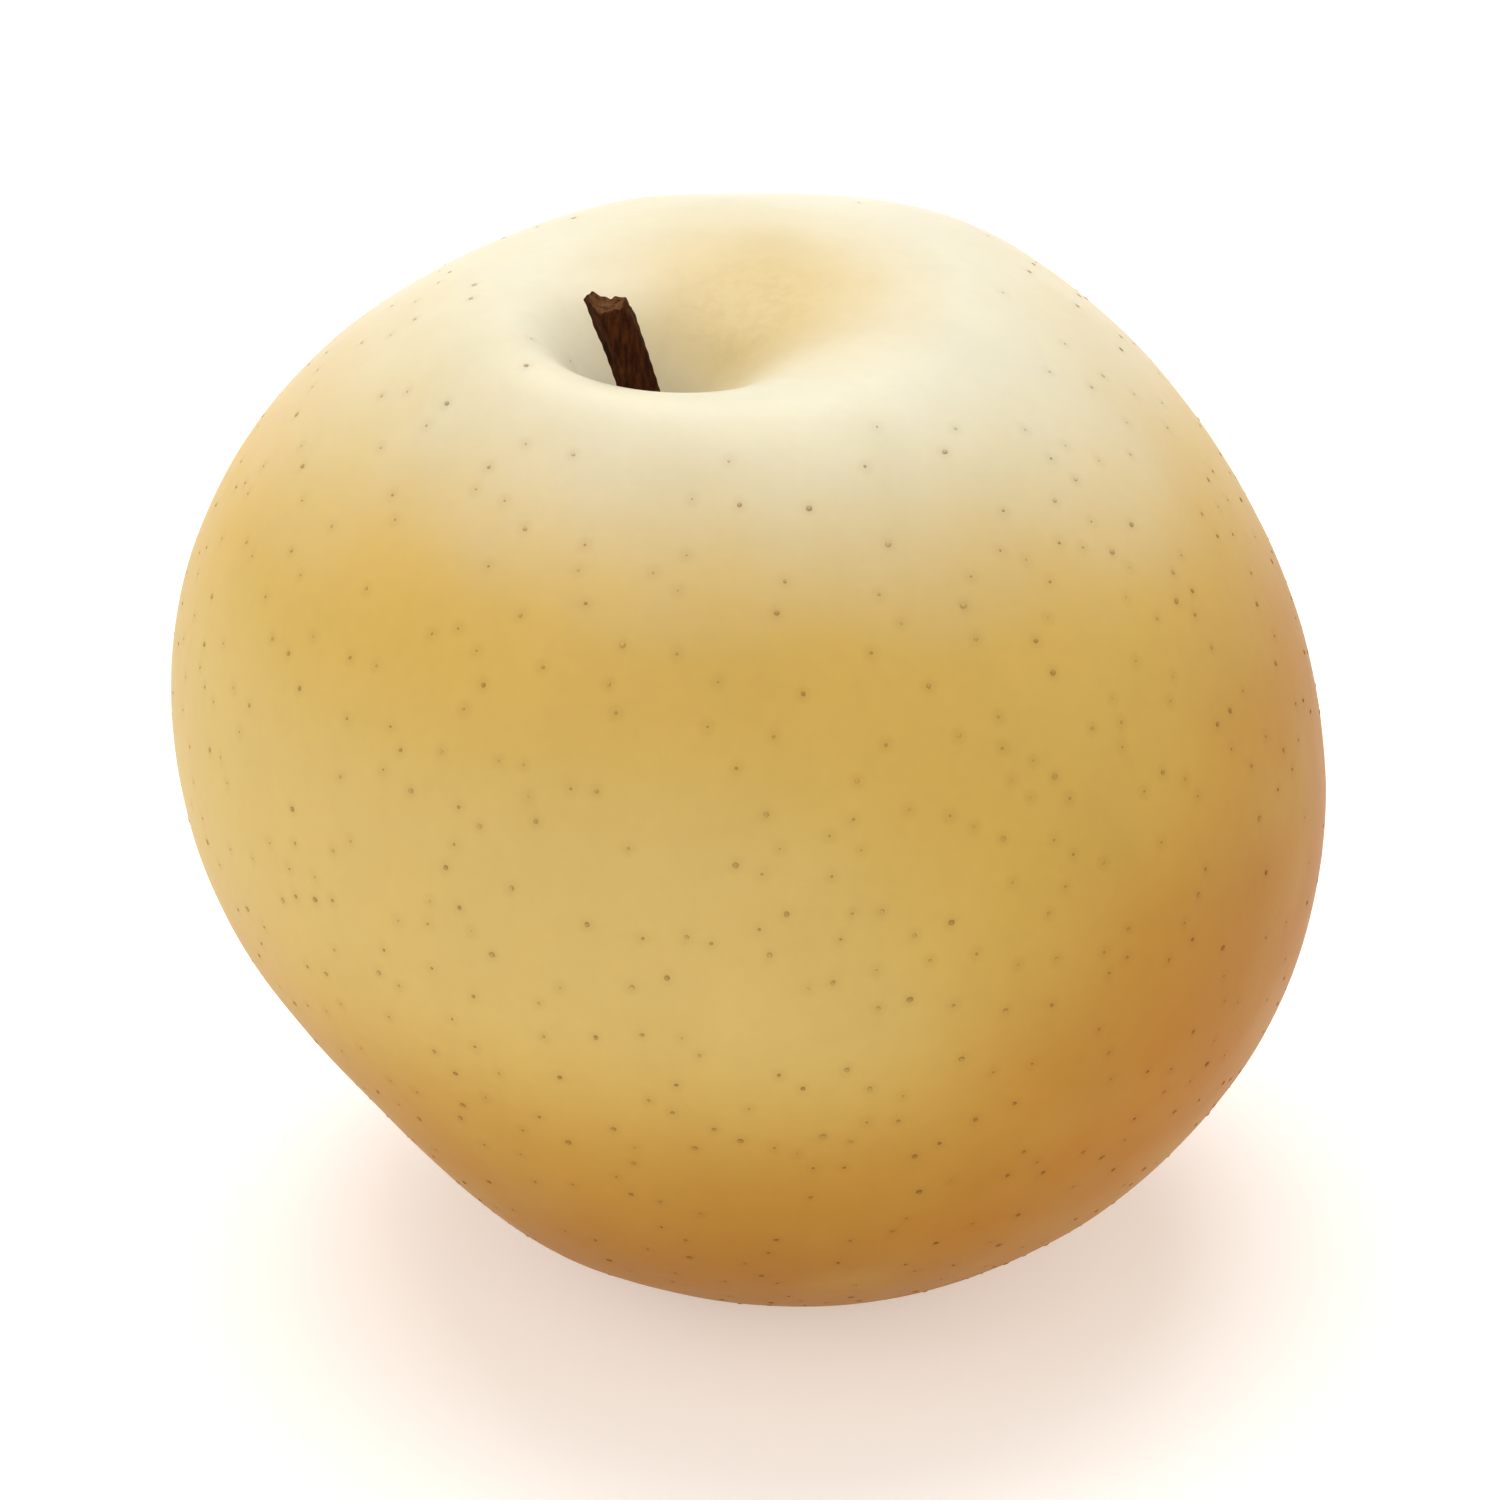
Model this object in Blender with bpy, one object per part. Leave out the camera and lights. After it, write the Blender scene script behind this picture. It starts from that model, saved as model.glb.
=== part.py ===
"""Asian pear: one whole, nearly round fruit, its woody stalk, and the dried calyx underneath.

The fruit stands on the floor at Z = 0 and is centred over the origin. The front is towards -Y.
"""

import math

import bmesh
import bpy
from mathutils import Matrix, Vector

MM = 0.001

# Fruit: a turned body whose core leans, with low swells and dents as a grown fruit has.
RADIUS = 40.8 * MM
TOP_HEIGHT = 0.946          # height of the stalk end above the widest part, over RADIUS
BASE_HEIGHT = 0.987         # depth of the calyx end below the widest part, over RADIUS
TAPER = -0.01               # below zero, the calyx half is the broader one
SHOULDER = 0.02             # extra width towards both ends
CORE_LEAN = -0.10           # sideways lean of the core to the left, per unit of height
CORE_LEAN_BACK = -0.03      # and, below zero, to the front
CAVITY_OFFSET = -4.5 * MM   # how far left of the leaning core the stalk end has grown
CAVITY_FORWARD = -7.2 * MM  # and how far in front of it
CAVITY_OFFSET_POWER = 12    # the higher, the closer to the funnel the bend stays

# Each swell or dent: azimuth and elevation in degrees, height over the radius, reach.
SWELLS = (
    (203.0, -36.0, -0.060, 0.060),
    (170.0, 15.0, 0.017, 0.094),
    (-25.0, -39.0, -0.016, 0.166),
    (50.0, 50.0, 0.079, 0.127),
    (110.0, -15.0, 0.015, 0.120),
    (115.0, 60.0, 0.018, 0.020),
    (33.0, 46.0, -0.010, 0.020),
)
LEVEL_FROM = 0.80           # swells fade out between these two steepnesses, so that
LEVEL_TO = 0.94             # the ring around the calyx basin stays level

# Funnel around the stalk and basin around the calyx.
CAVITY_DEPTH = 12.0 * MM
CAVITY_REACH = 6.4 * MM
CAVITY_SKEW = 0.20          # how much wider the funnel opens to one side than on average
CAVITY_OPENS_TO = math.radians(15.0)
BASIN_DEPTH = 13.0 * MM
BASIN_REACH = 6.5 * MM
FUNNEL_POWER = 1.5
FOOT_CUT = 0.20 * MM        # how much of the ring is pressed flat where the fruit stands

# Stalk: thin where it grows from the core, a little thicker at its broken end.
STALK_LENGTH = 11.35 * MM
STALK_WAIST = 1.35 * MM     # radius at the waist
STALK_END = 1.45 * MM       # radius at the broken end
STALK_SWELL_FROM = 0.35     # shares of the length between which the end swells
STALK_SWELL_TO = 0.95
STALK_FLARE = 0.25 * MM     # extra radius at the root, and how fast it fades
STALK_FLARE_REACH = 0.08
STALK_OVAL = 0.06
STALK_ROOT = ((0.02, 0.45), (0.06, 0.85))   # rounded root: share of length, share of radius
STALK_END_BEVEL = 0.35 * MM
STALK_LEAN = math.radians(14.0)
STALK_BOW = 0.5 * MM
STALK_ROOT_RISE = 1.3 * MM   # keeps the rounded root clear of the steep left wall of the funnel

# Calyx: a dry cone in the deep end of the basin, its five sepal stubs towards the floor.
CALYX_HEIGHT = 6.2 * MM
CALYX_MOUTH = 2.75 * MM     # radius across the sepal stubs
CALYX_OUTLINE = (           # share of the height below the tip, share of the mouth's radius
    (0.0, 0.20),
    (0.30, 0.49),
    (0.62, 0.76),
    (1.0, 1.0),
    (0.95, 0.78),
    (0.84, 0.45),
)
CALYX_TIP_RISE = 0.15 * MM
CALYX_TIP_DROP = 0.4 * MM    # the blunt tip stays this much further off the basin's roof
CALYX_DISH = 1.4 * MM
SEPALS = 5
SEPAL_NOTCH = 0.16

GAP = 0.35 * MM             # space left between neighbouring solids
ON_FLOOR = 0.01 * MM        # points this near to the floor plane are set exactly on it
SHARP_ANGLE = math.radians(45.0)

FRUIT_SEGMENTS = 64
FRUIT_RINGS = 46
RING_CROWDING = 0.62        # draws the rings towards the two ends, where the funnels are
STALK_SEGMENTS = 24
STALK_RINGS = 10
CALYX_SEGMENTS = 40


def clear_scene():
    for obj in list(bpy.data.objects):
        bpy.data.objects.remove(obj, do_unlink=True)


def make_material(name, colour, roughness, metallic=0.0):
    material = bpy.data.materials.new(name)
    material.use_nodes = True
    shader = material.node_tree.nodes["Principled BSDF"]
    shader.inputs["Base Color"].default_value = (*colour, 1.0)
    shader.inputs["Roughness"].default_value = roughness
    shader.inputs["Metallic"].default_value = metallic
    return material


def smoothstep(low, high, value):
    t = min(max((value - low) / (high - low), 0.0), 1.0)
    return t * t * (3.0 - 2.0 * t)


def direction(azimuth, elevation):
    level = math.cos(math.radians(elevation))
    return Vector((
        level * math.cos(math.radians(azimuth)),
        level * math.sin(math.radians(azimuth)),
        math.sin(math.radians(elevation)),
    ))


def core_at(height, steep):
    """Where the core's centre line is, bent aside just under the stalk."""
    bend = max(steep, 0.0) ** CAVITY_OFFSET_POWER
    across = CORE_LEAN * height + CAVITY_OFFSET * bend
    away = CORE_LEAN_BACK * height + CAVITY_FORWARD * bend
    return Vector((across, away, height))


def funnel(distance, depth, reach):
    return depth * math.exp(-((distance / reach) ** FUNNEL_POWER))


def cavity_reach(turn):
    """The funnel is steep on the left, where the stalk is, and opens out to the right."""
    return CAVITY_REACH * (1.0 + CAVITY_SKEW * math.cos(turn - CAVITY_OPENS_TO))


def skin_point(turn, angle):
    """A point on the skin, by its turn around the core and its angle down from the stalk end."""
    steep = math.cos(angle)
    mean_height = (TOP_HEIGHT + BASE_HEIGHT) / 2.0
    height_difference = (TOP_HEIGHT - BASE_HEIGHT) / 2.0
    height = RADIUS * steep * (mean_height + height_difference * steep)
    width = RADIUS * math.sin(angle) * (1.0 + TAPER * steep + SHOULDER * steep * steep)
    if steep > 0.0:
        height -= funnel(width, CAVITY_DEPTH, cavity_reach(turn))
    else:
        height += funnel(width, BASIN_DEPTH, BASIN_REACH)
    point = core_at(height, steep) + Vector((width * math.cos(turn), width * math.sin(turn), 0.0))

    heading = point.normalized()
    level = 1.0 - smoothstep(LEVEL_FROM, LEVEL_TO, -steep)
    swell = 1.0
    for azimuth, elevation, amount, reach in SWELLS:
        nearness = math.exp((heading.dot(direction(azimuth, elevation)) - 1.0) / reach)
        swell += level * amount * nearness
    return point * swell


def ring_angle(step):
    t = step / FRUIT_RINGS
    return math.pi * t - RING_CROWDING * math.sin(2.0 * math.pi * t) / 2.0


def skin_of_rings(mesh, rings, top, bottom):
    """Closes rings of vertices, listed top first, into one skin with a fan at each end."""
    count = len(rings[0])
    for upper, lower in zip(rings, rings[1:]):
        for i in range(count):
            j = (i + 1) % count
            mesh.faces.new((upper[i], lower[i], lower[j], upper[j]))
    for i in range(count):
        j = (i + 1) % count
        mesh.faces.new((top, rings[0][i], rings[0][j]))
        mesh.faces.new((bottom, rings[-1][j], rings[-1][i]))


def finish_object(name, mesh, material):
    bmesh.ops.recalc_face_normals(mesh, faces=mesh.faces[:])
    data = bpy.data.meshes.new(name)
    mesh.to_mesh(data)
    mesh.free()
    data.shade_smooth()
    data.set_sharp_from_angle(angle=SHARP_ANGLE)
    data.materials.append(material)
    obj = bpy.data.objects.new(name, data)
    bpy.context.scene.collection.objects.link(obj)
    return obj


def press_foot_flat(mesh, floor):
    """Cuts the ring around the basin off at the floor and closes the cut with a flat ring."""
    geometry = mesh.verts[:] + mesh.edges[:] + mesh.faces[:]
    cut = bmesh.ops.bisect_plane(
        mesh,
        geom=geometry,
        dist=ON_FLOOR / 10.0,
        plane_co=(0.0, 0.0, floor),
        plane_no=(0.0, 0.0, -1.0),
        clear_outer=True,
    )
    rim = [item for item in cut["geom_cut"] if isinstance(item, bmesh.types.BMEdge)]
    bmesh.ops.bridge_loops(mesh, edges=rim)
    for vertex in mesh.verts:
        if abs(vertex.co.z - floor) < ON_FLOOR:
            vertex.co.z = floor


def make_fruit(material):
    mesh = bmesh.new()
    rings = []
    for step in range(1, FRUIT_RINGS):
        angle = ring_angle(step)
        ring = []
        for i in range(FRUIT_SEGMENTS):
            turn = 2.0 * math.pi * i / FRUIT_SEGMENTS
            ring.append(mesh.verts.new(skin_point(turn, angle)))
        rings.append(ring)
    top = mesh.verts.new(skin_point(0.0, 0.0))
    bottom = mesh.verts.new(skin_point(0.0, math.pi))
    skin_of_rings(mesh, rings, top, bottom)

    floor = min(vertex.co.z for vertex in mesh.verts) + FOOT_CUT
    press_foot_flat(mesh, floor)

    middle_x = (max(v.co.x for v in mesh.verts) + min(v.co.x for v in mesh.verts)) / 2.0
    middle_y = (max(v.co.y for v in mesh.verts) + min(v.co.y for v in mesh.verts)) / 2.0
    to_origin = Vector((-middle_x, -middle_y, -floor))
    bmesh.ops.translate(mesh, verts=mesh.verts[:], vec=to_origin)
    finish_object("fruit", mesh, material)
    return to_origin


def stalk_radius(along):
    """Radius by the share of the stalk's length: a soft root, a waist, a swollen end."""
    swelling = smoothstep(STALK_SWELL_FROM, STALK_SWELL_TO, along)
    flare = STALK_FLARE * math.exp(-along / STALK_FLARE_REACH)
    return STALK_WAIST + (STALK_END - STALK_WAIST) * swelling + flare


def make_stalk(material, root):
    """The stalk rises from the bottom of the funnel and leans to the left."""
    mesh = bmesh.new()
    stations = list(STALK_ROOT)
    first = STALK_ROOT[-1][0]
    last = 1.0 - STALK_END_BEVEL / STALK_LENGTH
    for step in range(1, STALK_RINGS + 1):
        stations.append((first + (last - first) * step / STALK_RINGS, 1.0))
    stations.append((1.0, 1.0 - STALK_END_BEVEL / STALK_END))

    rings = []
    for along, share in reversed(stations):
        radius = stalk_radius(along) * share
        bow = STALK_BOW * math.sin(math.pi * along)
        ring = []
        for i in range(STALK_SEGMENTS):
            turn = 2.0 * math.pi * i / STALK_SEGMENTS
            oval = 1.0 + STALK_OVAL * math.cos(2.0 * turn)
            ring.append(mesh.verts.new((
                bow + radius * oval * math.cos(turn),
                radius * oval * math.sin(turn),
                STALK_LENGTH * along,
            )))
        rings.append(ring)
    top = mesh.verts.new((0.0, 0.0, STALK_LENGTH))
    bottom = mesh.verts.new((0.0, 0.0, 0.0))
    skin_of_rings(mesh, rings, top, bottom)

    lean = Matrix.Rotation(-STALK_LEAN, 4, "Y")
    bmesh.ops.transform(mesh, matrix=Matrix.Translation(root) @ lean, verts=mesh.verts[:])
    finish_object("stem", mesh, material)


def make_calyx(material, tip):
    """The dry cone hangs point up in the basin, with a dished mouth between its sepal stubs."""
    mesh = bmesh.new()
    rings = []
    for down, share in CALYX_OUTLINE:
        radius = CALYX_MOUTH * share
        ring = []
        for i in range(CALYX_SEGMENTS):
            turn = 2.0 * math.pi * i / CALYX_SEGMENTS
            lobe = 1.0 - SEPAL_NOTCH * down * (1.0 - math.cos(SEPALS * turn)) / 2.0
            ring.append(mesh.verts.new((
                radius * lobe * math.cos(turn),
                radius * lobe * math.sin(turn),
                -CALYX_HEIGHT * down,
            )))
        rings.append(ring)
    top = mesh.verts.new((0.0, 0.0, CALYX_TIP_RISE))
    bottom = mesh.verts.new((0.0, 0.0, CALYX_DISH - CALYX_HEIGHT))
    skin_of_rings(mesh, rings, top, bottom)
    bmesh.ops.translate(mesh, verts=mesh.verts[:], vec=tip)
    finish_object("calyx", mesh, material)


def build():
    clear_scene()
    skin = make_material("pear_skin", (0.68, 0.45, 0.14), 0.48)
    wood = make_material("stalk_wood", (0.055, 0.018, 0.004), 0.85)
    husk = make_material("calyx_husk", (0.075, 0.03, 0.01), 0.9)

    to_origin = make_fruit(skin)
    cavity_floor = skin_point(0.0, 0.0) + to_origin
    basin_roof = skin_point(0.0, math.pi) + to_origin
    make_stalk(wood, cavity_floor + Vector((0.0, 0.0, GAP + STALK_ROOT_RISE)))
    make_calyx(husk, basin_roof - Vector((0.0, 0.0, GAP + CALYX_TIP_RISE + CALYX_TIP_DROP)))


build()
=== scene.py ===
"""An Asian pear on a pale table: golden fruit, corky specks, woody stalk and dry calyx."""

import math

import bmesh
import bpy
import numpy as np
from mathutils import Matrix, Vector


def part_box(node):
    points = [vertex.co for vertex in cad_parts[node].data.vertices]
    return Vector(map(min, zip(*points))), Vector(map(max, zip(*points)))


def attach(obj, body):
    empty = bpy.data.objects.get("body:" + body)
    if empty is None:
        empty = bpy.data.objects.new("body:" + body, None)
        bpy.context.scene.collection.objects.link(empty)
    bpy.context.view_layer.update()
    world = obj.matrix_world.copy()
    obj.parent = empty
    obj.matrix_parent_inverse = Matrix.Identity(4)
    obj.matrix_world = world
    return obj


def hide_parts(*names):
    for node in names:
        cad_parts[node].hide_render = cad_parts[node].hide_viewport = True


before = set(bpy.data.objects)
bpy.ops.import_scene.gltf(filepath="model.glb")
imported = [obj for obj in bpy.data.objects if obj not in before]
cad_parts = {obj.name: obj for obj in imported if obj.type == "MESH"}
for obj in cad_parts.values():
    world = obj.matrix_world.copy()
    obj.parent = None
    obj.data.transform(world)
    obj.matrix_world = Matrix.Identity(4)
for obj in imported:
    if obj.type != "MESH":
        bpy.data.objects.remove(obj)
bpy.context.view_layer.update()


# ------------------------------------------------------------------------------------------
# The fruit: one grown body of crisp flesh in a thin, smooth, satin skin. It swelled round a
# core that leans, so the funnel of its stalk sits off to the left, and it stands on the ring
# of flesh round its calyx basin, pressed flat there by its own weight.
# ------------------------------------------------------------------------------------------
MM = 0.001


class Wire:
    """One output of a node, so that a sum or a pattern reads as a sum of wires."""

    def __init__(self, tree, socket=None):
        self.tree = tree
        self.socket = socket

    def node(self, kind, settings=None, sockets=None, output=0):
        """Adds a node, sets what it is, then feeds its sockets with values or wires."""
        made = self.tree.nodes.new(kind)
        for name, value in (settings or {}).items():
            setattr(made, name, value)
        for name, value in (sockets or {}).items():
            if isinstance(value, Wire):
                self.tree.links.new(value.socket, made.inputs[name])
            else:
                made.inputs[name].default_value = value
        return Wire(self.tree, made.outputs[output])

    def of(self, operation, *others):
        sockets = {i: value for i, value in enumerate((self, *others))}
        return self.node("ShaderNodeMath", {"operation": operation}, sockets)

    def __add__(self, other):
        return self.of("ADD", other)

    def __radd__(self, other):
        return self.of("ADD", other)

    def __sub__(self, other):
        return self.of("SUBTRACT", other)

    def __rsub__(self, other):
        return self.node("ShaderNodeMath", {"operation": "SUBTRACT"}, {0: other, 1: self})

    def __mul__(self, other):
        return self.of("MULTIPLY", other)

    def __rmul__(self, other):
        return self.of("MULTIPLY", other)

    def __truediv__(self, other):
        return self.of("DIVIDE", other)

    def __pow__(self, other):
        return self.of("POWER", other)

    def vector(self, operation, other=None):
        """Vector maths; a dot product comes back as a number."""
        sockets = {0: self}
        if operation == "SCALE":
            sockets["Scale"] = other
        elif other is not None:
            sockets[1] = other
        output = "Value" if operation == "DOT_PRODUCT" else "Vector"
        return self.node("ShaderNodeVectorMath", {"operation": operation}, sockets, output)

    def parts(self):
        made = self.node("ShaderNodeSeparateXYZ", {}, {0: self}).socket.node
        return [Wire(self.tree, socket) for socket in made.outputs]

    def joined(self, x, y, z):
        return self.node("ShaderNodeCombineXYZ", {}, {0: x, 1: y, 2: z})

    def fade(self, start, end, low=0.0, high=1.0):
        """Eases from low to high as this wire goes from start to end."""
        settings = {"interpolation_type": "SMOOTHSTEP"}
        sockets = {"Value": self, "From Min": start, "From Max": end, "To Min": low, "To Max": high}
        return self.node("ShaderNodeMapRange", settings, sockets)

    def noise(self, scale, detail=2.0, roughness=0.5):
        sockets = {"Vector": self, "Scale": scale, "Detail": detail, "Roughness": roughness}
        return self.node("ShaderNodeTexNoise", {}, sockets)

    def fibres(self, across, along, detail, roughness):
        """Noise drawn out upwards, as streaks and threads are."""
        x, y, z = self.parts()
        return self.joined(x * across, y * across, z * along).noise(1.0, detail, roughness)

    def between(self, first, second):
        """Goes from the first colour to the second as this wire goes from 0 to 1."""
        return self.node("ShaderNodeMix", {"data_type": "RGBA"}, {0: self, 6: first, 7: second}, 2)

    def tint(self, amount, other, blend="MIX"):
        """Mixes this colour with another one."""
        settings = {"data_type": "RGBA", "blend_type": blend}
        return self.node("ShaderNodeMix", settings, {0: amount, 6: self, 7: other}, 2)

    def mark(self, name):
        """A number that the mesh carries on each of its points."""
        return self.node("ShaderNodeAttribute", {"attribute_name": name}, output="Fac")

    def raised(self, strength, distance):
        """The relief of a surface that has this wire as its height."""
        sockets = {"Strength": strength, "Distance": distance, "Height": self}
        return self.node("ShaderNodeBump", {}, sockets)

    def chance(self, low, high, seed):
        """A random number for each point, the same one on each run."""
        settings = {"data_type": "FLOAT"}
        sockets = {2: low, 3: high, "Seed": seed}
        return self.node("FunctionNodeRandomValue", settings, sockets, 1)

    def stored(self, name, value, domain="POINT"):
        """This geometry, with a number kept on each of its points or pieces."""
        settings = {"data_type": "FLOAT", "domain": domain}
        sockets = {"Geometry": self, "Name": name, "Value": value}
        return self.node("GeometryNodeStoreNamedAttribute", settings, sockets)


def new_form(name, sizes):
    """A geometry tree with a named input for each size; returns its wires by name."""
    tree = bpy.data.node_groups.new(name, "GeometryNodeTree")
    tree.interface.new_socket("Geometry", in_out="OUTPUT", socket_type="NodeSocketGeometry")
    kinds = {
        int: "NodeSocketInt",
        float: "NodeSocketFloat",
        bpy.types.Material: "NodeSocketMaterial",
        bpy.types.Object: "NodeSocketObject",
        Vector: "NodeSocketVector",
    }
    for label, value in sizes.items():
        kind = next(kinds[k] for k in kinds if isinstance(value, k))
        tree.interface.new_socket(label, in_out="INPUT", socket_type=kind)
    inputs = tree.nodes.new("NodeGroupInput")
    wires = {label: Wire(tree, inputs.outputs[label]) for label in sizes}
    return tree, Wire(tree), wires


def finish_form(tree, shape, material):
    """Ends a tree: real faces, smooth, in their material."""
    solid = shape.node("GeometryNodeRealizeInstances", {}, {0: shape})
    smooth = shape.node("GeometryNodeSetShadeSmooth", {}, {0: solid})
    dressed = shape.node("GeometryNodeSetMaterial", {}, {"Geometry": smooth, "Material": material})
    output = tree.nodes.new("NodeGroupOutput")
    tree.links.new(dressed.socket, output.inputs[0])


def grow(name, tree, sizes):
    """Runs a tree with its sizes and keeps the result as a plain mesh object."""
    piece = bpy.data.objects.new(name, bpy.data.meshes.new(name))
    bpy.context.scene.collection.objects.link(piece)
    modifier = piece.modifiers.new(name, "NODES")
    modifier.node_group = tree
    for item in tree.interface.items_tree:
        if item.in_out == "INPUT":
            modifier[item.identifier] = sizes[item.name]
    bpy.context.view_layer.update()
    evaluated = piece.evaluated_get(bpy.context.evaluated_depsgraph_get())
    plain = bpy.data.meshes.new_from_object(evaluated)
    piece.modifiers.remove(modifier)
    piece.data = plain
    plain.name = name
    return piece


def new_finish(name, **constants):
    """A material whose even values sit straight on the shader's sockets."""
    material = bpy.data.materials.new(name)
    material.use_nodes = True
    shader = material.node_tree.nodes["Principled BSDF"]
    for label, value in constants.items():
        shader.inputs[label.replace("_", " ")].default_value = value
    tree = material.node_tree
    wire = Wire(tree)
    place = wire.node("ShaderNodeTexCoord", output="Object")

    def wear(**varying):
        for label, wired in varying.items():
            tree.links.new(wired.socket, shader.inputs[label.replace("_", " ")])

    return material, wire, place, wear


CREAM_AND_HIGHLIGHT = (0.65, 0.615, 0.455, 1.0)
GOLD = (0.560, 0.367, 0.081, 1.0)
AMBER_AND_SHADE = (0.345, 0.142, 0.008, 1.0)
BLUSH_AND_SHADE = (0.375, 0.137, 0.006, 1.0)
LEAFY = (0.50, 0.385, 0.10, 1.0)
STRAW_SHEEN = (0.600, 0.460, 0.175, 1.0)
FUNNEL_BOUNCE_LIGHT = (0.62, 0.49, 0.26, 1.0)
FUNNEL_GOLD_AND_SHADE = (0.52, 0.365, 0.10, 1.0)
RUSSET = (0.185, 0.080, 0.016, 1.0)
PORE_SHADE = (0.66, 0.54, 0.40, 1.0)


def skin_colour_with_painted_light(place, down):
    """Cream round the stalk, gold below it, amber by the calyx and a blush on the right. The cream
    is partly a painted highlight; the amber and the blush are partly painted shade.
    """
    drift = place.noise(28.0, 2.0) - 0.5
    cloud = place.noise(120.0, 3.0) - 0.5
    x, y, z = place.parts()
    wander = 24.0 * MM
    blush_and_shade_side = (20.0, -2.0, -8.0)
    sheen_side = (-14.0, -18.0, 0.0)

    # The cream round the stalk is partly the skin's paler top and partly a painted highlight. It
    # gives way to gold sooner towards the right and the front.
    right = (x + wander * drift).fade(24.0 * MM, 48.0 * MM, 0.0, 0.16)
    front = (y + wander * drift).fade(-42.0 * MM, -6.0 * MM, 0.065, 0.0)
    ripeness_and_highlight = (down + 0.14 * drift + 0.05 * cloud + right + front).fade(0.09, 0.31)
    # Amber towards the calyx: partly the skin's own colour, partly painted shade low on the fruit.
    by_calyx = (down + 0.10 * drift).fade(0.44, 0.80)
    skin = ripeness_and_highlight.between(CREAM_AND_HIGHLIGHT, GOLD).tint(by_calyx, AMBER_AND_SHADE)

    # An orange blush on the right: partly the skin's own blush, partly painted shade and warm
    # bounce light on that side.
    blush_and_shade = place.vector("DOT_PRODUCT", blush_and_shade_side) + 0.5 * drift
    skin = skin.tint(blush_and_shade.fade(0.02, 0.55) * 0.85, BLUSH_AND_SHADE)
    green = place.noise(45.0, 2.0).fade(0.50, 0.72)
    skin = skin.tint(green * 0.20, LEAFY)
    # A pale straw patch low on the left: a painted sheen standing for the table's reflection, and
    # partly a paler patch of skin.
    sheen = place.vector("DOT_PRODUCT", sheen_side) + 0.4 * drift
    belly = z.fade(24.0 * MM, 40.0 * MM) * z.fade(48.0 * MM, 60.0 * MM, 1.0, 0.0)
    skin = skin.tint(sheen.fade(0.40, 0.80) * belly * 0.62, STRAW_SHEEN)

    by_stalk = down + 0.02 * cloud
    far_wall = x.fade(-11.0 * MM, -5.0 * MM, 0.30, 1.0)
    # A warm beige down in the funnel: painted bounce light in the hollow.
    skin = skin.tint(by_stalk.fade(0.045, 0.095, 0.55, 0.0), FUNNEL_BOUNCE_LIGHT)
    # Deeper gold down in the funnel, strongest on its right wall: partly the skin's gold, partly
    # painted shade.
    return skin.tint(by_stalk.fade(0.018, 0.064, 0.72, 0.0) * far_wall, FUNNEL_GOLD_AND_SHADE)


def skin_finish():
    """Satin skin, waxy near the stalk, netted with russet in the basin and shaded at each pore."""
    material, wire, place, wear = new_finish(
        "pear skin",
        IOR=1.45,
        Specular_IOR_Level=0.10,
        Subsurface_Weight=0.10,
        Subsurface_Radius=(1.0, 0.5, 0.15),
        Subsurface_Scale=2.5 * MM,
        Coat_Roughness=0.42,
    )
    down = wire.mark("down")
    near = wire.mark("speck_distance")
    cloud = place.noise(120.0, 3.0) - 0.5
    cell = place.noise(900.0, 2.0) - 0.5
    streak = place.fibres(160.0, 35.0, 3.0, 0.5) - 0.5
    shade = 1.0 + 0.10 * cloud + 0.06 * cell + 0.08 * streak
    skin = skin_colour_with_painted_light(place, down).tint(1.0, wire.joined(shade, shade, shade), "MULTIPLY")
    skin = skin.tint(near.fade(0.20 * MM, 0.90 * MM, 0.17, 0.0), PORE_SHADE, "MULTIPLY")

    netting = place.noise(1100.0, 4.0, 0.6)
    funnel = (down + 0.02 * cloud).fade(0.015, 0.045, 0.07, 0.0)
    basin = (down + 0.04 * cloud).fade(0.86, 0.955, 0.0, 0.85)
    rust = (funnel + basin) * netting.fade(0.42, 0.62)
    pebble = place.noise(1500.0, 2.0) * 0.6 + place.noise(420.0, 2.0) * 1.2
    wear(
        Base_Color=skin.tint(rust, RUSSET),
        Roughness=0.44 + 0.10 * cloud + 0.35 * rust,
        Coat_Weight=down.fade(0.10, 0.40, 0.90, 0.0) * (1.0 - rust),
        Normal=(pebble + netting * rust * 1.3).raised(0.16, 0.10 * MM),
    )
    return material


# Where the flesh swells or sinks: azimuth and elevation in degrees, amount, and spread.
SWELLS = (
    (203.0, -36.0, -0.060, 0.060),
    (170.0, 15.0, 0.017, 0.094),
    (-25.0, -39.0, -0.016, 0.166),
    (50.0, 50.0, 0.079, 0.127),
    (110.0, -15.0, 0.015, 0.120),
    (115.0, 60.0, 0.018, 0.020),
    (33.0, 46.0, -0.010, 0.020),
)
FUNNEL_OPENS_TO = math.radians(15.0)


def heading_of(azimuth, elevation):
    """The direction that an azimuth and an elevation in degrees point in."""
    level = math.cos(math.radians(elevation))
    across = level * math.cos(math.radians(azimuth))
    away = level * math.sin(math.radians(azimuth))
    return across, away, math.sin(math.radians(elevation))


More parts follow.
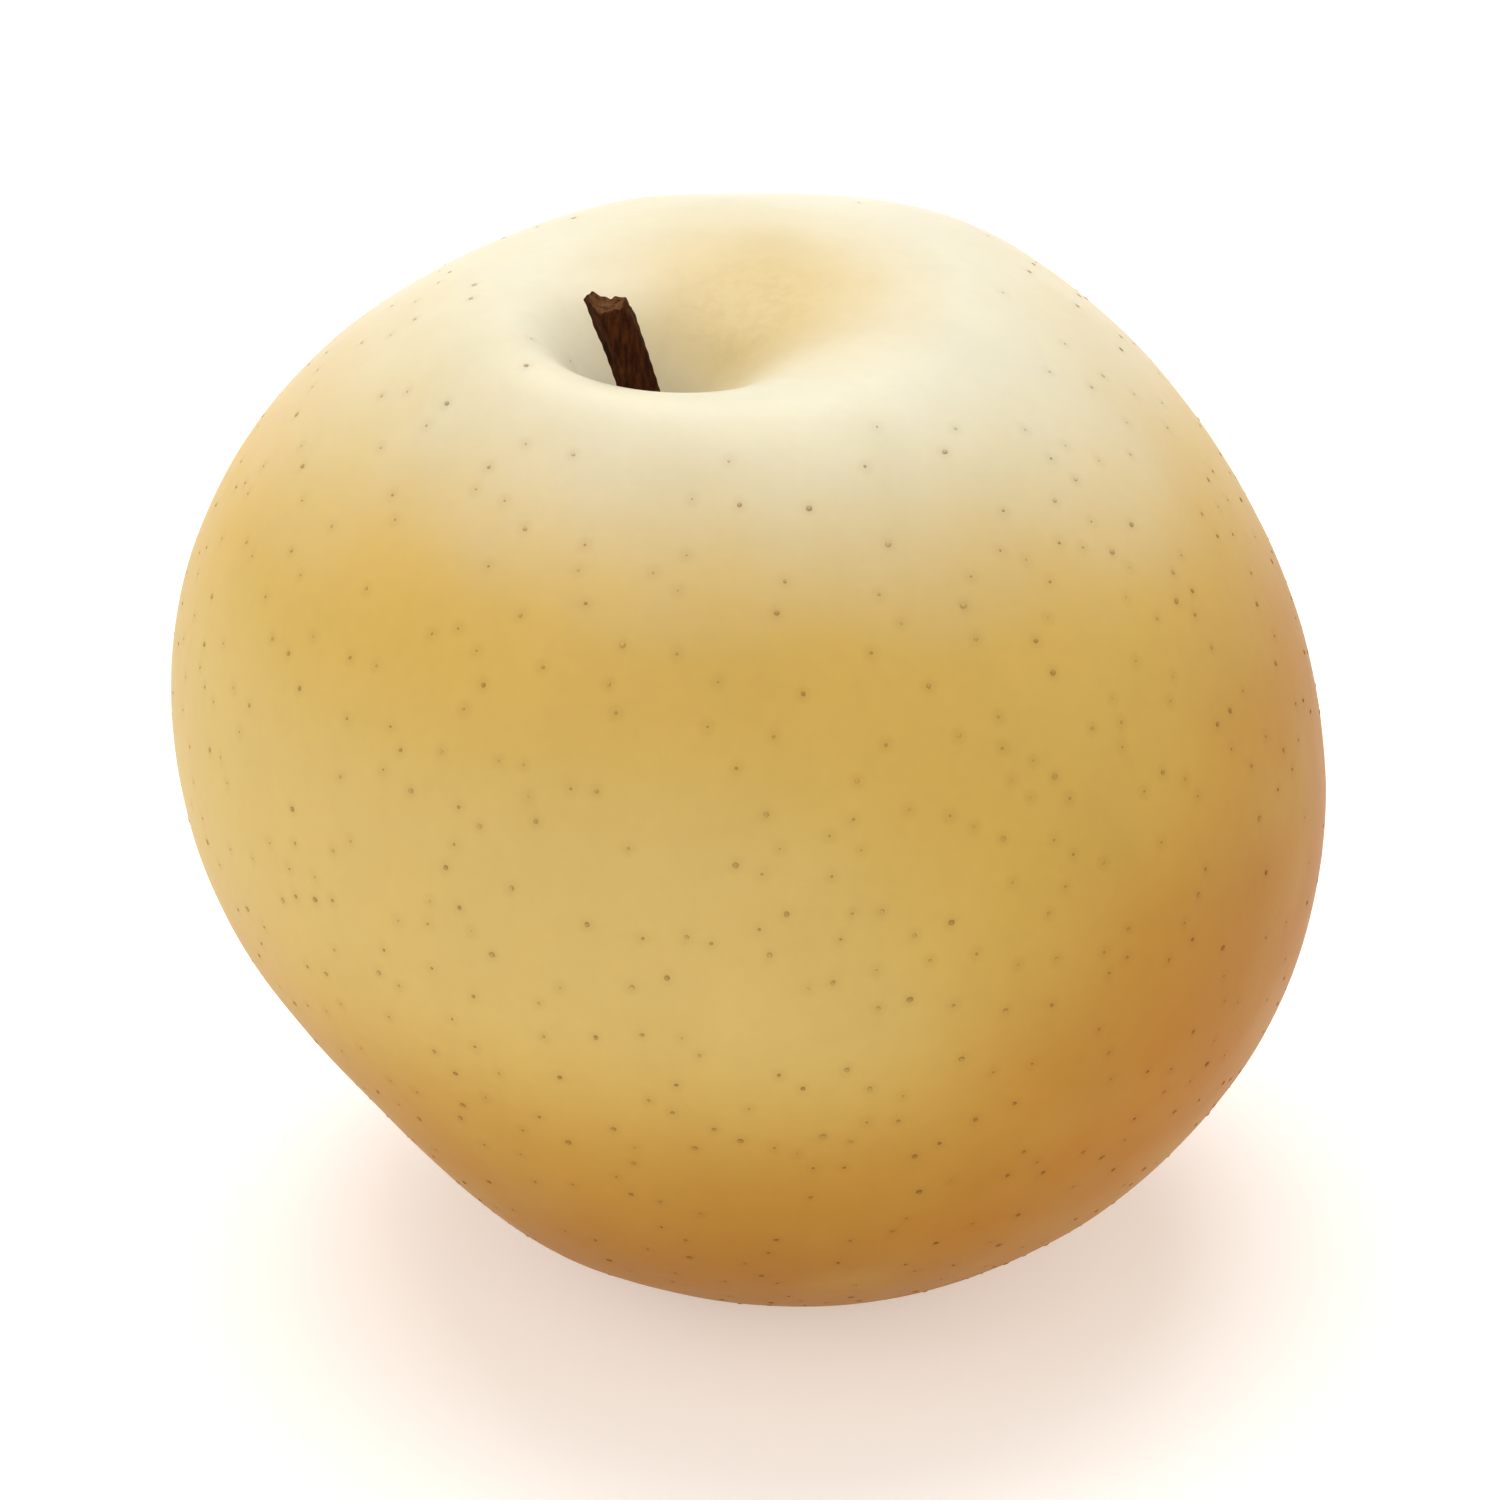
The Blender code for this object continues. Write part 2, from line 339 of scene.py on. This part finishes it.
def fruit_form(sizes):
    """A ball of even cells, pushed out to the fruit's grown shape."""
    tree, wire, size = new_form("fruit form", sizes)
    cells = {name: size["Cells"] for name in ("Vertices X", "Vertices Y", "Vertices Z")}
    cube = wire.node("GeometryNodeMeshCube", {}, cells)
    place = wire.node("GeometryNodeInputPosition")
    ball = place.vector("SCALE", math.pi / 2.0).vector("TANGENT").vector("NORMALIZE")
    x, y, z = ball.parts()
    out = (x * x + y * y).of("SQRT").of("MAXIMUM", 1.0e-6)
    x = x / out
    y = y / out
    even = z.of("ARCCOSINE")
    angle = even - size["Crowding"] * (even * 2.0).of("SINE") / 2.0
    steep = angle.of("COSINE")

    mean = (size["Top Height"] + size["Base Height"]) / 2.0
    change = (size["Top Height"] - size["Base Height"]) / 2.0
    height = size["Radius"] * steep * (mean + change * steep)
    width = size["Radius"] * angle.of("SINE")
    width = width * (1.0 + size["Taper"] * steep + size["Shoulder"] * steep * steep)
    upper = steep.of("GREATER_THAN", 0.0)
    opening = x * math.cos(FUNNEL_OPENS_TO) + y * math.sin(FUNNEL_OPENS_TO)
    reach = size["Funnel Reach"] * (1.0 + size["Funnel Skew"] * opening)
    funnel = ((width / reach) ** 1.5 * -1.0).of("EXPONENT")
    basin = ((width / size["Basin Reach"]) ** 1.5 * -1.0).of("EXPONENT")
    height = height - funnel * size["Stalk Funnel"] * upper
    height = height + basin * size["Calyx Basin"] * (1.0 - upper)
    bend = steep.of("MAXIMUM", 0.0) ** size["Funnel Bend"]
    across = size["Core Lean"] * height + size["Funnel Offset"] * bend
    away = size["Core Lean Back"] * height + size["Funnel Forward"] * bend
    point = wire.joined(across + width * x, away + width * y, height)

    heading = point.vector("NORMALIZE")
    off_foot = (steep * -1.0).fade(0.80, 0.94, 1.0, 0.0)
    swell = 1.0
    for azimuth, elevation, amount, spread in SWELLS:
        towards = heading.vector("DOT_PRODUCT", heading_of(azimuth, elevation))
        swell = ((towards - 1.0) / spread).of("EXPONENT") * amount * off_foot + swell
    point = point.vector("SCALE", swell)

    soft = heading.noise(2.6, 2.0) - 0.5
    turn = y.of("ARCTAN2", x)
    ribs = (turn * 5.0 + 0.8).of("COSINE") * angle.of("SINE") * 0.35
    folds = wire.joined(x, y, 0.0).noise(3.2, 3.0) - 0.5
    fold_ring = (width - size["Fold Ring"]) / size["Fold Reach"]
    folds = folds * (fold_ring * fold_ring * -1.0).of("EXPONENT") * 1.6
    lift = size["Unevenness"] * (soft * 2.0 + ribs + folds)
    point = point.vector("ADD", heading.vector("SCALE", lift * off_foot))

    shaped = wire.node("GeometryNodeSetPosition", {}, {"Geometry": cube, "Position": point})
    # How far down each point lies: 0 at the stalk, 1 at the calyx.
    down = angle / math.pi
    finish_form(tree, shaped.stored("down", down), size["Skin"])
    return tree


fruit_sizes = {
    "Radius": 40.8 * MM,
    "Top Height": 0.946,
    "Base Height": 0.987,
    "Taper": -0.01,
    "Shoulder": 0.02,
    "Core Lean": -0.10,
    "Core Lean Back": -0.03,
    "Funnel Offset": -4.5 * MM,
    "Funnel Forward": -7.2 * MM,
    "Funnel Bend": 12.0,
    "Stalk Funnel": 12.0 * MM,
    "Calyx Basin": 13.0 * MM,
    "Funnel Reach": 6.4 * MM,
    "Funnel Skew": 0.20,
    "Basin Reach": 6.5 * MM,
    "Crowding": 0.35,
    "Unevenness": 0.22 * MM,
    "Fold Ring": 4.5 * MM,
    "Fold Reach": 3.0 * MM,
    "Cells": 127,
    "Skin": skin_finish(),
}
fruit = grow("fruit_skin", fruit_form(fruit_sizes), fruit_sizes)


def stand_on_floor(mesh, low, high):
    """Centres the fruit in its box, level with its top, and presses its foot flat."""
    points = np.zeros(len(mesh.vertices) * 3, dtype=np.float32)
    mesh.vertices.foreach_get("co", points)
    points = points.reshape(-1, 3)
    middle = (points.min(axis=0) + points.max(axis=0)) / 2.0
    middle[2] = points[:, 2].max() - high[2]
    goal = ((low[0] + high[0]) / 2.0, (low[1] + high[1]) / 2.0, 0.0)
    points += np.array(goal, dtype=np.float32) - middle
    points[:, 2] = np.maximum(points[:, 2], low[2])
    mesh.vertices.foreach_set("co", points.ravel())
    mesh.update()


stand_on_floor(fruit.data, *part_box("fruit"))


# ------------------------------------------------------------------------------------------
# The lenticels: the skin's breathing pores, each closed with a low dome of pale brown cork.
# They are scattered over the whole fruit, but for the stalk funnel and the calyx basin.
# ------------------------------------------------------------------------------------------
def cork_finish():
    """Dull cork, a browner shade of the skin around it, each dome with a tone of its own."""
    material, wire, place, wear = new_finish("lenticel cork", Specular_IOR_Level=0.25)
    brown = wire.joined(0.52, 0.43, 0.36)
    # The cork takes the skin's colour round it, painted highlight and shade included.
    around = skin_colour_with_painted_light(place, wire.mark("down"))
    browned = around.tint(1.0, brown, "MULTIPLY")
    cork = around.tint(wire.mark("tone").fade(0.0, 1.0, 0.25, 0.75), browned)
    grain = place.noise(5000.0, 2.0)
    wear(Base_Color=cork, Roughness=0.62 + 0.2 * grain, Normal=grain.raised(0.3, 0.03 * MM))
    return material


def scatter(wire, skin, size):
    """Points over the skin, no two closer than the spacing, thinned out at both ends."""
    settings = {"data_type": "FLOAT"}
    down = wire.node("GeometryNodeInputNamedAttribute", settings, {"Name": "down"})
    thin = down.fade(0.07, 0.20) * down.fade(0.84, 0.90, 1.0, 0.0)
    sockets = {
        "Mesh": skin,
        "Distance Min": size["Spacing"],
        "Density Max": size["Density"],
        "Density Factor": thin,
        "Seed": size["Seed"],
    }
    method = {"distribute_method": "POISSON"}
    return wire.node("GeometryNodeDistributePointsOnFaces", method, sockets)


def speck_form(sizes):
    """A low dome on each point, with its own size and tone."""
    tree, wire, size = new_form("lenticels", sizes)
    skin = wire.node("GeometryNodeObjectInfo", {}, {"Object": size["Fruit"]}, "Geometry")
    points = scatter(wire, skin, size)
    dome = wire.node("GeometryNodeMeshUVSphere", {}, {"Segments": 7, "Rings": 3, "Radius": 1.0})
    pick = wire.chance(0.0, 1.0, size["Seed"])
    radius = size["Smallest"] + (size["Largest"] - size["Smallest"]) * pick ** 1.7
    long = wire.chance(0.85, 1.35, 5)
    sockets = {
        "Points": points,
        "Instance": dome,
        "Rotation": Wire(tree, points.socket.node.outputs["Rotation"]),
        "Scale": wire.joined(radius * long, radius, radius * size["Flatness"]),
    }
    domes = wire.node("GeometryNodeInstanceOnPoints", {}, sockets)
    tone = wire.chance(0.0, 1.0, 9)
    finish_form(tree, domes.stored("tone", tone, "INSTANCE"), size["Cork"])
    return tree


def halo_form(sizes):
    """The skin again, each point knowing how far the nearest lenticel is."""
    tree, wire, size = new_form("lenticel halos", sizes)
    skin = wire.node("GeometryNodeObjectInfo", {}, {"Object": size["Fruit"]}, "Geometry")
    sockets = {0: scatter(wire, skin, size)}
    near = wire.node("GeometryNodeProximity", {"target_element": "POINTS"}, sockets, "Distance")
    finish_form(tree, skin.stored("speck_distance", near), size["Skin"])
    return tree


speck_sizes = {
    "Fruit": fruit,
    "Spacing": 1.7 * MM,
    "Density": 90000.0,
    "Smallest": 0.09 * MM,
    "Largest": 0.24 * MM,
    "Flatness": 0.30,
    "Seed": 11,
    "Cork": cork_finish(),
    "Skin": fruit_sizes["Skin"],
}
specks = grow("lenticels", speck_form(speck_sizes), speck_sizes)
haloed = grow("fruit_with_halos", halo_form(speck_sizes), speck_sizes)
fruit.data = haloed.data
bpy.data.objects.remove(haloed)

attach(fruit, "root")
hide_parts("fruit")
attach(specks, "root")


# ------------------------------------------------------------------------------------------
# The stalk: a short rod of hard wood, nearly black and ridged lengthwise as it dried. It snapped
# off the spur and left a ragged, hollow end with a taller splinter on the left. It grew out of
# the bottom of the funnel and leans to the left.
# ------------------------------------------------------------------------------------------
def bark_finish():
    """Nearly black, fibrous and dull, with paler wood where the stalk snapped."""
    material, wire, place, wear = new_finish("stalk bark", Specular_IOR_Level=0.12)
    dark = (0.019, 0.0042, 0.0004, 1.0)
    brown = (0.072, 0.0175, 0.0020, 1.0)
    worn = (0.105, 0.036, 0.009, 1.0)
    wood = (0.14, 0.058, 0.018, 1.0)
    fibre = place.fibres(2600.0, 500.0, 4.0, 0.6)
    blotch = place.noise(700.0, 3.0)
    bark = fibre.fade(0.35, 0.70).between(dark, brown)
    bark = bark.tint(blotch.fade(0.58, 0.78) * 0.4, worn)
    bark = bark.tint(wire.mark("cut") * fibre.fade(0.25, 0.60), wood)
    relief = (fibre + blotch * 0.5).raised(0.6, 0.12 * MM)
    wear(Base_Color=bark, Roughness=0.92 - 0.10 * fibre, Normal=relief)
    return material


def turns(count):
    """The angles of points spaced evenly round a ring."""
    return [2.0 * math.pi * i / count for i in range(count)]


def fan(mesh, ring, tip, flip):
    """Closes a ring with faces that meet in one point, turned over if flip is set."""
    for i, corner in enumerate(ring):
        after = ring[(i + 1) % len(ring)]
        mesh.faces.new((tip, after, corner) if flip else (tip, corner, after))


def sleeve(mesh, rings):
    """Joins rings listed from the bottom up into a tube whose faces point outwards."""
    for below, above in zip(rings, rings[1:]):
        for i in range(len(below)):
            j = (i + 1) % len(below)
            mesh.faces.new((below[i], below[j], above[j], above[i]))


def ease(start, end, value):
    """Goes smoothly from 0 to 1 as the value goes from start to end."""
    t = min(max((value - start) / (end - start), 0.0), 1.0)
    return t * t * (3.0 - 2.0 * t)


def new_piece(name, mesh, material):
    """A smooth object from a mesh in the making, in its material."""
    data = bpy.data.meshes.new(name)
    mesh.to_mesh(data)
    mesh.free()
    data.shade_smooth()
    data.materials.append(material)
    piece = bpy.data.objects.new(name, data)
    bpy.context.scene.collection.objects.link(piece)
    return piece


def make_stalk():
    """A leaning rod on a flared foot, with a ragged, hollow end."""
    low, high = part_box("stem")
    lean = math.radians(14.0)
    waist = 1.34 * MM
    end = 1.38 * MM
    sunk = 2.4 * MM
    break_depth = 0.55 * MM
    # The rings inside the broken end: share of the radius, and depth in millimetres.
    hollow = ((0.93, -0.05), (0.84, 0.02), (0.72, 0.24), (0.55, 0.42), (0.36, 0.46), (0.16, 0.42))
    steps = 90
    around = turns(96)
    across = high[0] - waist * 1.12 + sunk * math.tan(lean)
    root = Vector((across, (low[1] + high[1]) / 2.0, low[2] - sunk))
    length = (high[2] - low[2] + sunk) / math.cos(lean)
    leaning = Matrix.Rotation(-lean, 3, "Y")
    mesh = bmesh.new()
    cut = mesh.verts.layers.float.new("cut")

    def ridges(turn, along):
        """Five broad ridges, eight lesser and thirteen fine ones, all slowly twisting."""
        twist = turn + 0.5 * along
        return (
            0.050 * math.cos(5.0 * twist + 0.6)
            + 0.035 * math.cos(8.0 * twist + 2.0 * along)
            + 0.020 * math.cos(13.0 * twist - 1.3 + 4.0 * along)
        )

    def radius(turn, along):
        """Flared at the foot, with a knuckle below the break and fine wrinkles."""
        body = waist + (end - waist) * ease(0.35, 0.90, along)
        body += 0.9 * MM * math.exp(-along / 0.07)
        knuckle = 0.05 * MM * math.exp(-(((along - 0.84) / 0.05) ** 2))
        wrinkle = 0.02 * MM * math.sin(90.0 * along + 3.0 * math.sin(turn))
        return (body + knuckle) * (1.0 + ridges(turn, along)) + wrinkle

    def ragged(turn):
        """How high the broken rim stands: a tall splinter on the left, a low one on the right."""
        return (
            -0.42 * math.cos(turn)
            + 0.34 * math.cos(2.0 * turn + 0.4)
            + 0.14 * math.cos(5.0 * turn + 1.0)
            + 0.07 * math.cos(11.0 * turn)
        ) * MM

    def place(turn, along, inset, rise):
        out = radius(turn, min(along, 1.0)) * inset
        bow = 0.5 * MM * math.sin(math.pi * along)
        local = Vector((bow + out * math.cos(turn), out * math.sin(turn), length * along + rise))
        return root + leaning @ local

    rings = []
    for step in range(steps + 1):
        along = step / steps
        rim = ease(0.86, 1.0, along)
        ring = []
        for turn in around:
            rise = rim * (ragged(turn) - break_depth)
            ring.append(mesh.verts.new(place(turn, along, 1.0, rise)))
        rings.append(ring)
    for inset, sink in hollow:
        ring = []
        for turn in around:
            splinter = 0.10 * math.cos(7.0 * turn + 9.0 * inset)
            rim = ragged(turn) * inset * inset - break_depth
            rise = rim - (sink + splinter * (1.0 - inset)) * MM
            point = mesh.verts.new(place(turn, 1.0, inset, rise))
            point[cut] = ease(0.97, 0.80, inset)
            ring.append(point)
        rings.append(ring)
    sleeve(mesh, rings)
    middle = mesh.verts.new(place(0.0, 1.0, 0.0, -0.95 * MM))
    middle[cut] = 1.0
    fan(mesh, rings[-1], middle, False)
    base = mesh.verts.new(place(0.0, 0.0, 0.0, 0.0))
    fan(mesh, rings[0], base, True)
    return new_piece("stalk", mesh, bark_finish())


stalk = make_stalk()
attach(stalk, "root")
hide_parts("stem")


# ------------------------------------------------------------------------------------------
# The calyx: what is left of the flower, dry and brown, deep in the basin underneath. A wrinkled
# cup hangs point up from the core, with five curled sepals round its mouth and the stubs of
# the stamens inside.
# ------------------------------------------------------------------------------------------
def husk_finish():
    """Dry, brown and fibrous, without gloss."""
    material, _, place, wear = new_finish("dry husk", Specular_IOR_Level=0.2)
    dark = (0.035, 0.013, 0.004, 1.0)
    brown = (0.135, 0.062, 0.022, 1.0)
    faded = (0.22, 0.12, 0.048, 1.0)
    fibre = place.fibres(2400.0, 600.0, 4.0, 0.6)
    blotch = place.noise(900.0, 3.0)
    husk = fibre.fade(0.32, 0.70).between(dark, brown)
    husk = husk.tint(blotch.fade(0.52, 0.75) * 0.6, faded)
    relief = (fibre + blotch * 0.6).raised(0.6, 0.10 * MM)
    wear(Base_Color=husk, Roughness=0.95 - 0.12 * fibre, Normal=relief)
    return material


dry_husk = husk_finish()
calyx_low, calyx_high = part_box("calyx")
calyx_across = (calyx_low[0] + calyx_high[0]) / 2.0
calyx_away = (calyx_low[1] + calyx_high[1]) / 2.0
mouth = (calyx_high[0] - calyx_low[0]) / 2.0
LOBES = 5


def new_husk(name, mesh):
    """A piece of the calyx, in its husk and on its body."""
    piece = new_piece(name, mesh, dry_husk)
    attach(piece, "root")
    return piece


def make_cup():
    """A dished mouth, then the outer wall up to the point, with a rib under each sepal."""
    # Each ring's share of the mouth's radius, and its share of the height.
    dish = ((0.14, 0.34), (0.30, 0.36), (0.46, 0.31), (0.62, 0.20), (0.76, 0.09), (0.86, 0.03))
    lip = ((0.93, 0.0), (0.97, 0.02))
    wall = []
    steps = 26
    for step in range(steps + 1):
        up = step / steps
        wall.append((0.97 * (1.0 - up) ** 0.72 + 0.13 * up, 0.05 + 0.93 * up))
    tall = calyx_high[2] - calyx_low[2]
    mesh = bmesh.new()
    rings = []
    for share, up in (*dish, *lip, *wall):
        ring = []
        for turn in turns(80):
            lobe = 1.0 - 0.10 * share * (1.0 - math.cos(LOBES * turn)) / 2.0
            crease = 0.030 * math.cos(15.0 * turn + 3.0 * up)
            crease += 0.020 * math.cos(23.0 * turn - 5.0 * up)
            pucker = 0.015 * math.sin(40.0 * up + 2.0 * math.cos(3.0 * turn))
            out = mouth * share * (lobe + crease + pucker)
            height = calyx_low[2] + tall * up
            point = (calyx_across + out * math.cos(turn), calyx_away + out * math.sin(turn), height)
            ring.append(mesh.verts.new(point))
        rings.append(ring)
    sleeve(mesh, rings)
    dimple = mesh.verts.new((calyx_across, calyx_away, calyx_low[2] + tall * 0.33))
    fan(mesh, rings[0], dimple, True)
    point = mesh.verts.new((calyx_across, calyx_away, calyx_high[2]))
    fan(mesh, rings[-1], point, False)
    cup = new_husk("calyx_cup", mesh)
    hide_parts("calyx")


def make_sepals():
    """Five dry leaves: each leaves the lip outwards, then curls in and down to a narrow tip."""
    mesh = bmesh.new()
    lengthwise = 22
    across = 10
    thick = 0.10 * MM
    half_width = 1.20 * MM
    half_tip = 0.05 * MM
    long = 1.9 * MM
    above_lip = 0.75 * MM
    for lobe in range(LOBES):
        heading = 2.0 * math.pi * lobe / LOBES
        curl = 1.0 + 0.18 * math.sin(2.3 * lobe + 0.5)
        twist = 0.25 * math.sin(1.7 * lobe + 1.0)

        def leaf(along, side, face):
            """A place on the leaf: how far along it, how far to the side, and on which face."""
            belly = 1.0 + 0.35 * math.sin(math.pi * along)
            half = half_width * (1.0 - along) ** 0.75 * belly + half_tip
            bend = side * half / mouth + twist * along
            out = mouth * 0.80 + 0.95 * MM * math.sin(2.3 * along) * curl - 1.1 * MM * along * along
            drop = long * along * curl
            cup = 0.35 * MM * side * side * (1.0 - along)
            ripple = math.sin(9.0 * along + 4.0 * side + lobe)
            crinkle = 0.07 * MM * ripple * math.sin(math.pi * along)
            rim = math.sqrt(max(1.0 - side * side, 0.0)) * min(1.0, 6.0 * (1.0 - along) + 0.2)
            out += crinkle + face * thick * rim
            turn = heading + bend
            height = calyx_low[2] + above_lip - drop + cup
            return (calyx_across + out * math.cos(turn), calyx_away + out * math.sin(turn), height)

        rings = []
        for step in range(lengthwise + 1):
            along = step / lengthwise
            ring = []
            for i in range(2 * across):
                sweep = math.pi * i / across
                ring.append(mesh.verts.new(leaf(along, math.cos(sweep), math.sin(sweep))))
            rings.append(ring)
        sleeve(mesh, rings)
        mesh.faces.new(list(reversed(rings[0])))
        mesh.faces.new(rings[-1])
    bmesh.ops.recalc_face_normals(mesh, faces=mesh.faces[:])
    new_husk("sepals", mesh)


def stamen_form(sizes):
    """Dry threads on a ring, each bent outwards and ending in a tiny shrivelled head."""
    tree, wire, size = new_form("stamens", sizes)
    circle = {"Vertices": size["Stamens"], "Radius": size["Ring"]}
    ring = wire.node("GeometryNodeMeshCircle", {}, circle)
    ring = wire.node("GeometryNodeTransform", {}, {"Geometry": ring, "Translation": size["Middle"]})
    reach = size["Reach"]
    bend = {
        "Resolution": 8,
        "Start": (0.0, 0.0, 0.0),
        "Middle": wire.joined(reach * 0.10, 0.0, reach * -0.6),
        "End": wire.joined(reach * 0.45, 0.0, reach * -1.0),
    }
    spine = wire.node("GeometryNodeCurveQuadraticBezier", {}, bend)
    section = {"Resolution": 6, "Radius": size["Thread"]}
    profile = wire.node("GeometryNodeCurvePrimitiveCircle", {}, section)
    swept = {"Curve": spine, "Profile Curve": profile, "Fill Caps": True}
    thread = wire.node("GeometryNodeCurveToMesh", {}, swept)
    bead = {"Radius": size["Thread"] * 2.1, "Subdivisions": 2}
    head = wire.node("GeometryNodeMeshIcoSphere", {}, bead)
    head = wire.node("GeometryNodeTransform", {}, {"Geometry": head, "Translation": bend["End"]})
    both = wire.node("GeometryNodeJoinGeometry", {}, {"Geometry": thread})
    wire.tree.links.new(head.socket, both.socket.node.inputs["Geometry"])
    order = wire.node("GeometryNodeInputIndex")
    tilt = wire.chance(-0.30, 0.30, size["Seed"])
    stray = wire.chance(-0.35, 0.35, 4)
    grown = wire.chance(0.65, 1.10, 6)
    spin = order * (2.0 * math.pi) / size["Stamens"] + stray
    angles = wire.joined(tilt, stray, spin)
    sockets = {
        "Points": ring,
        "Instance": both,
        "Rotation": wire.node("FunctionNodeEulerToRotation", {}, {0: angles}),
        "Scale": wire.joined(grown, grown, grown),
    }
    placed = wire.node("GeometryNodeInstanceOnPoints", {}, sockets)
    finish_form(tree, placed, size["Husk"])
    return tree


make_cup()
make_sepals()
stamen_sizes = {
    "Stamens": 15,
    "Ring": mouth * 0.42,
    "Middle": Vector((calyx_across, calyx_away, calyx_low[2] + 2.0 * MM)),
    "Reach": 2.2 * MM,
    "Thread": 0.075 * MM,
    "Seed": 3,
    "Husk": dry_husk,
}
stamens = grow("stamens", stamen_form(stamen_sizes), stamen_sizes)
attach(stamens, "root")


# ------------------------------------------------------------------------------------------
# The table, the light and the camera: a white table that glows a little and curves up into a
# round wall far away, so that shadows stay soft and pale. One broad light hangs above and behind
# the fruit, and a weak one to the front left.
# ------------------------------------------------------------------------------------------
def make_floor():
    """A flat sheet that sweeps up, well away from the fruit, into a round wall."""
    flat = 1.3
    sweep = 0.5
    wall_top = 1.4
    steps = 12
    profile = [(0.4, 0.0), (flat, 0.0)]
    for step in range(1, steps + 1):
        turn = math.pi / 2.0 * step / steps
        profile.append((flat + sweep * math.sin(turn), sweep * (1.0 - math.cos(turn))))
    profile.append((flat + sweep, wall_top))
    mesh = bmesh.new()
    rings = []
    for out, up in profile:
        ring = []
        for turn in turns(96):
            ring.append(mesh.verts.new((out * math.cos(turn), out * math.sin(turn), up)))
        rings.append(ring)
    sleeve(mesh, rings[::-1])
    fan(mesh, rings[0], mesh.verts.new((0.0, 0.0, 0.0)), False)
    material, wire, place, wear = new_finish(
        "white table",
        Roughness=0.9,
        Specular_IOR_Level=0.1,
        Emission_Color=(1.0, 0.92, 0.84, 1.0),
        Emission_Strength=0.45,
    )
    paper = place.noise(900.0, 2.0) * 0.01 + 0.72
    wear(Base_Color=wire.joined(paper, paper, paper))
    floor = new_piece("floor", mesh, material)


def make_light(name, place, aim, size, power, colour=(1.0, 1.0, 1.0)):
    """A soft oblong lamp that hangs at a place and points at its aim."""
    light = bpy.data.lights.new(name, "AREA")
    light.shape = "RECTANGLE"
    light.size, light.size_y = size
    light.energy = power
    light.color = colour
    lamp = bpy.data.objects.new(name, light)
    lamp.location = place
    lamp.rotation_euler = (Vector(aim) - Vector(place)).to_track_quat("-Z", "Y").to_euler()
    bpy.context.scene.collection.objects.link(lamp)


def light_studio():
    """Even white light all round, and the two lamps."""
    world = bpy.data.worlds.new("studio")
    world.use_nodes = True
    backdrop = world.node_tree.nodes["Background"]
    backdrop.inputs["Color"].default_value = (1.0, 1.0, 1.0, 1.0)
    backdrop.inputs["Strength"].default_value = 0.28
    bpy.context.scene.world = world
    fruit_middle = (0.0, 0.0, 0.04)
    warm_white = (1.0, 0.98, 0.95)
    make_light("rear softbox", (-0.05, 0.28, 0.82), fruit_middle, (0.9, 0.7), 7.4)
    make_light("front softbox", (-0.40, -0.50, 0.70), fruit_middle, (0.8, 0.6), 1.4, warm_white)


def place_camera():
    """Above the table and in front, far off with a long lens."""
    elevation = math.radians(28.0)
    distance = 0.70
    low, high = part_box("fruit")
    middle = (Vector(low) + Vector(high)) / 2.0
    away = Vector((0.0, -math.cos(elevation), math.sin(elevation)))
    lens = bpy.data.cameras.new("camera")
    lens.sensor_width = 36.0
    lens.lens = 235.0
    camera = bpy.data.objects.new("camera", lens)
    camera.location = middle + away * distance
    camera.rotation_euler = (-away).to_track_quat("-Z", "Y").to_euler()
    bpy.context.scene.collection.objects.link(camera)
    bpy.context.scene.camera = camera


make_floor()
light_studio()
place_camera()
bpy.context.scene.view_settings.view_transform = "Standard"
